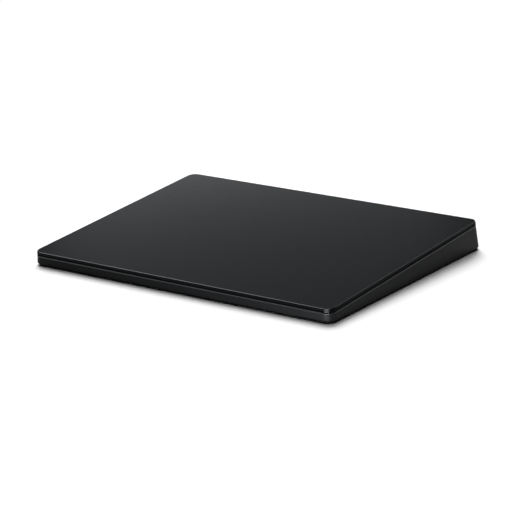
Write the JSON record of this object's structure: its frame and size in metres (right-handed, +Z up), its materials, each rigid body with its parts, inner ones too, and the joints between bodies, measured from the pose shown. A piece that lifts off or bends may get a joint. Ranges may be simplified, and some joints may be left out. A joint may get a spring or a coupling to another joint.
{
  "type": "trackpad",
  "caption": "Wedge-shaped desk trackpad: dark glass touch plate floating over a metal tray, with rear charging socket and power slide switch.",
  "frame": {"origin": "centre of the bounding box on the plane of the feet's undersides", "axes": "+X to the user's right along the front edge, +Y away from the user towards the socket, +Z up from the desk"},
  "size_m": [0.16, 0.1172, 0.0138],
  "materials": {
    "anodised": "fine bead-blasted dark anodised",
    "black_glass": "fine-etched satin glass, dark backing",
    "black_plastic": "fine-grained satin",
    "rubber": "matte",
    "cell_film": "satin pouch film",
    "tape": "matte",
    "board": "solder mask",
    "ribbon": "film",
    "chip": "matte moulded",
    "steel": "plain sheet",
    "slider": "satin",
    "gel": "clear gel",
    "core_iron": "sintered",
    "copper": "enamelled wire",
    "adhesive": "transfer adhesive",
    "socket_plastic": "moulded",
    "gold": "gold-plated",
    "clear_bond": "clear film"
  },
  "bodies": {
    "base": {"lower_case": "anodised", "bottom_cover": "black_plastic", "feet": "rubber", "battery_cell": "cell_film", "battery_tape": "tape", "battery_board": "board", "battery_ribbon": "ribbon", "main_board": "board", "main_chips": "chip", "shield_can": "steel", "main_board_screws": "steel", "antenna_board": "board", "port_board": "board", "port_board_screws": "steel", "port_shell": "steel", "port_tongue": "black_plastic", "port_ribbon": "ribbon", "switch_housing": "black_plastic", "flexure_springs": "steel", "flexure_screws": "steel", "strain_gauges": "ribbon", "cover_adhesive": "adhesive", "board_connectors": "socket_plastic", "port_contacts": "gold", "touch_ribbon": "ribbon"},
    "carrier": {"carrier_plate": "steel", "gel_pads": "gel", "haptic_cores": "core_iron", "haptic_coils": "copper", "core_screws": "steel"},
    "touch_plate": {"touch_glass": "black_glass", "plate_rim": "black_plastic", "touch_board": "board", "touch_chips": "chip", "armature_bar": "core_iron", "glass_bond": "clear_bond"},
    "power_switch": {"power_slider": "slider"}
  },
  "joints": [
    {"name": "plate_press", "type": "slide", "parent": "base", "child": "carrier", "axis": [0, 0.0634, -0.998], "range_m": [0, 0.00015], "stiffness_N_per_m": 60000, "deforming": ["flexure_springs", "strain_gauges", "touch_ribbon"]},
    {"name": "haptic_shift", "type": "slide", "parent": "carrier", "child": "touch_plate", "axis": [1, 0, 0], "range_m": [-0.0002, 0.0002], "stiffness_N_per_m": 20000},
    {"name": "power_slide", "type": "slide", "parent": "base", "child": "power_switch", "axis": [1, 0, 0], "range_m": [0, 0.003]}
  ]
}
